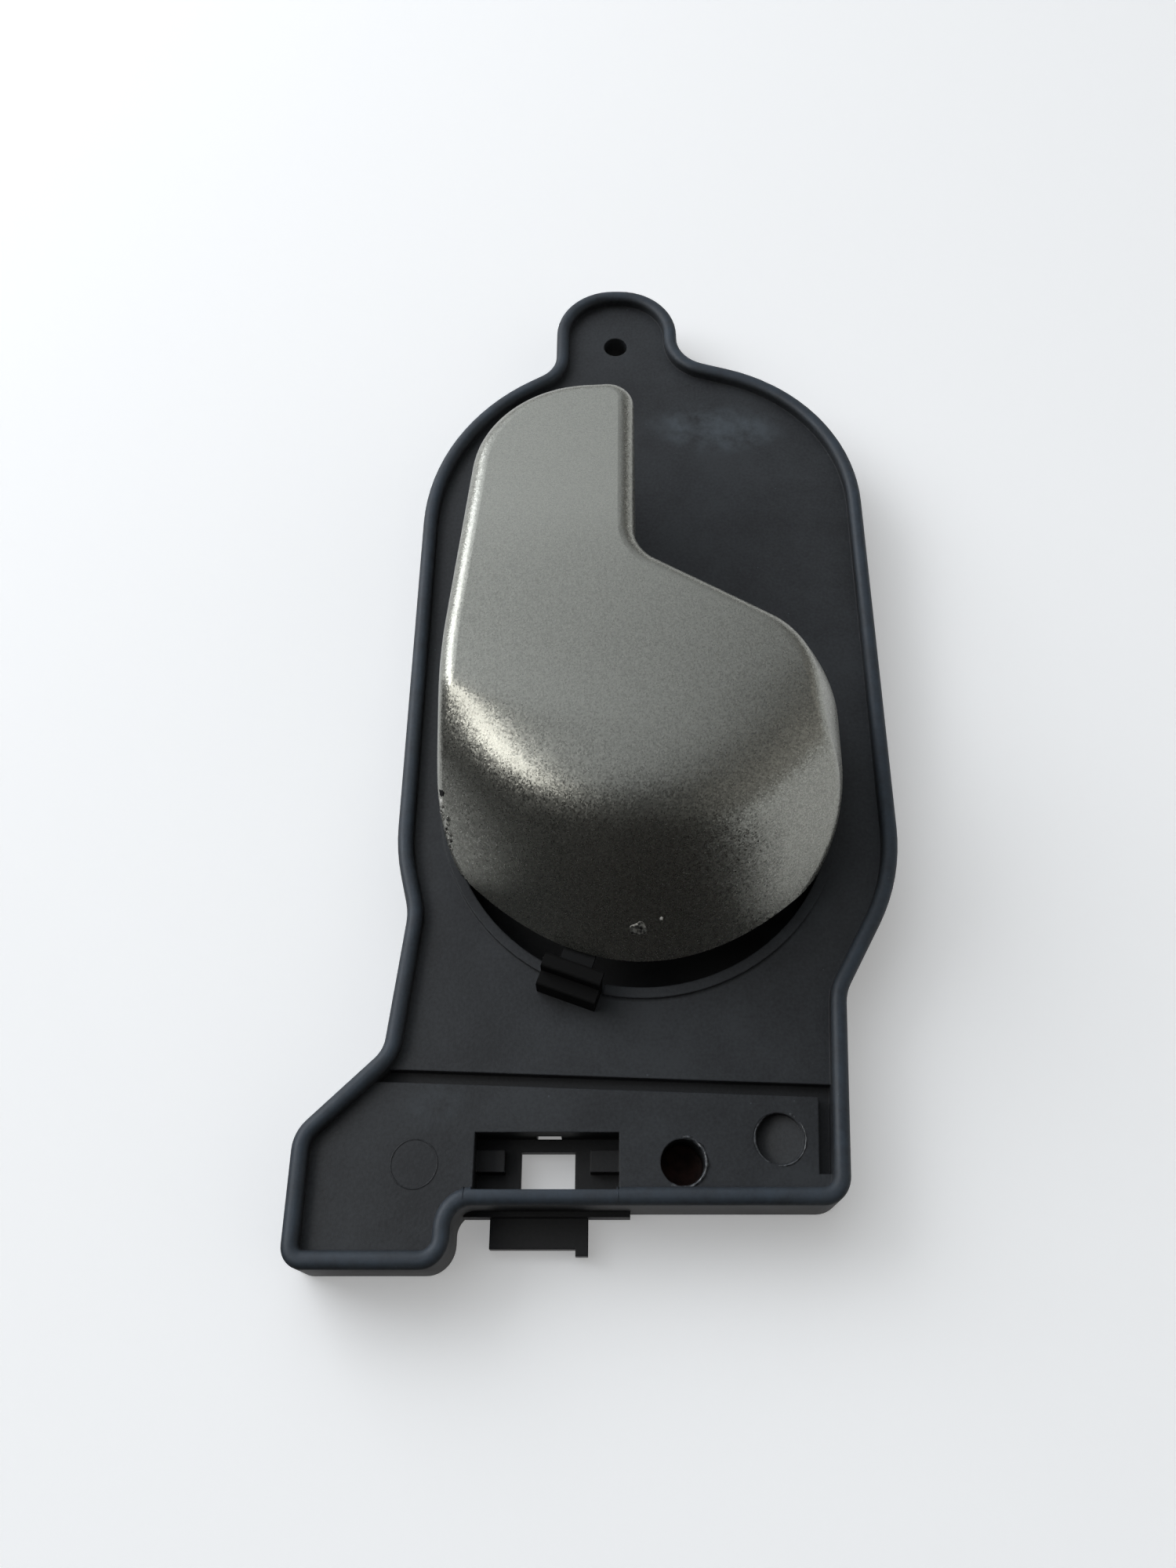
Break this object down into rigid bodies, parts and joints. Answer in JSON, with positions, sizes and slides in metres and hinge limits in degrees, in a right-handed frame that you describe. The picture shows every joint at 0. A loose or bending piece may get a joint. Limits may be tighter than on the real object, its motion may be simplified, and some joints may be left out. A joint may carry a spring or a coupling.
{
  "type": "car interior door handle",
  "caption": "Black moulded door plate with a rounded rim, screw tab and cable window, carrying a silver painted pull lever that swings up on a pin against a torsion spring.",
  "frame": {"origin": "middle of the outline in X and Y, on the back plane that lies on the door", "axes": "+X across the plate to the right of the picture, +Y along the plate towards the screw tab, +Z out of the door"},
  "size_m": [0.0808, 0.158, 0.0328],
  "materials": {
    "plate_plastic": "fine grained charcoal moulding",
    "lever_paint": "satin metallic silver paint on a moulding",
    "pin_steel": "drawn steel pin",
    "spring_steel": "drawn spring wire",
    "buffer_rubber": "moulded black rubber"
  },
  "bodies": {
    "base": {"base_plate": "plate_plastic", "rest_buffer": "buffer_rubber", "return_spring": "spring_steel"},
    "pull_lever": {"lever": "lever_paint", "pivot_pin": "pin_steel"}
  },
  "joints": [
    {"name": "lever_pull", "type": "hinge", "parent": "base", "child": "pull_lever", "pos_m": [0, -0.019, 0.0145], "axis": [1, 0, 0], "range_deg": [0, 25], "stiffness_Nm_per_rad": 0.15, "springref_deg": -45.84, "deforming": ["return_spring"]}
  ]
}
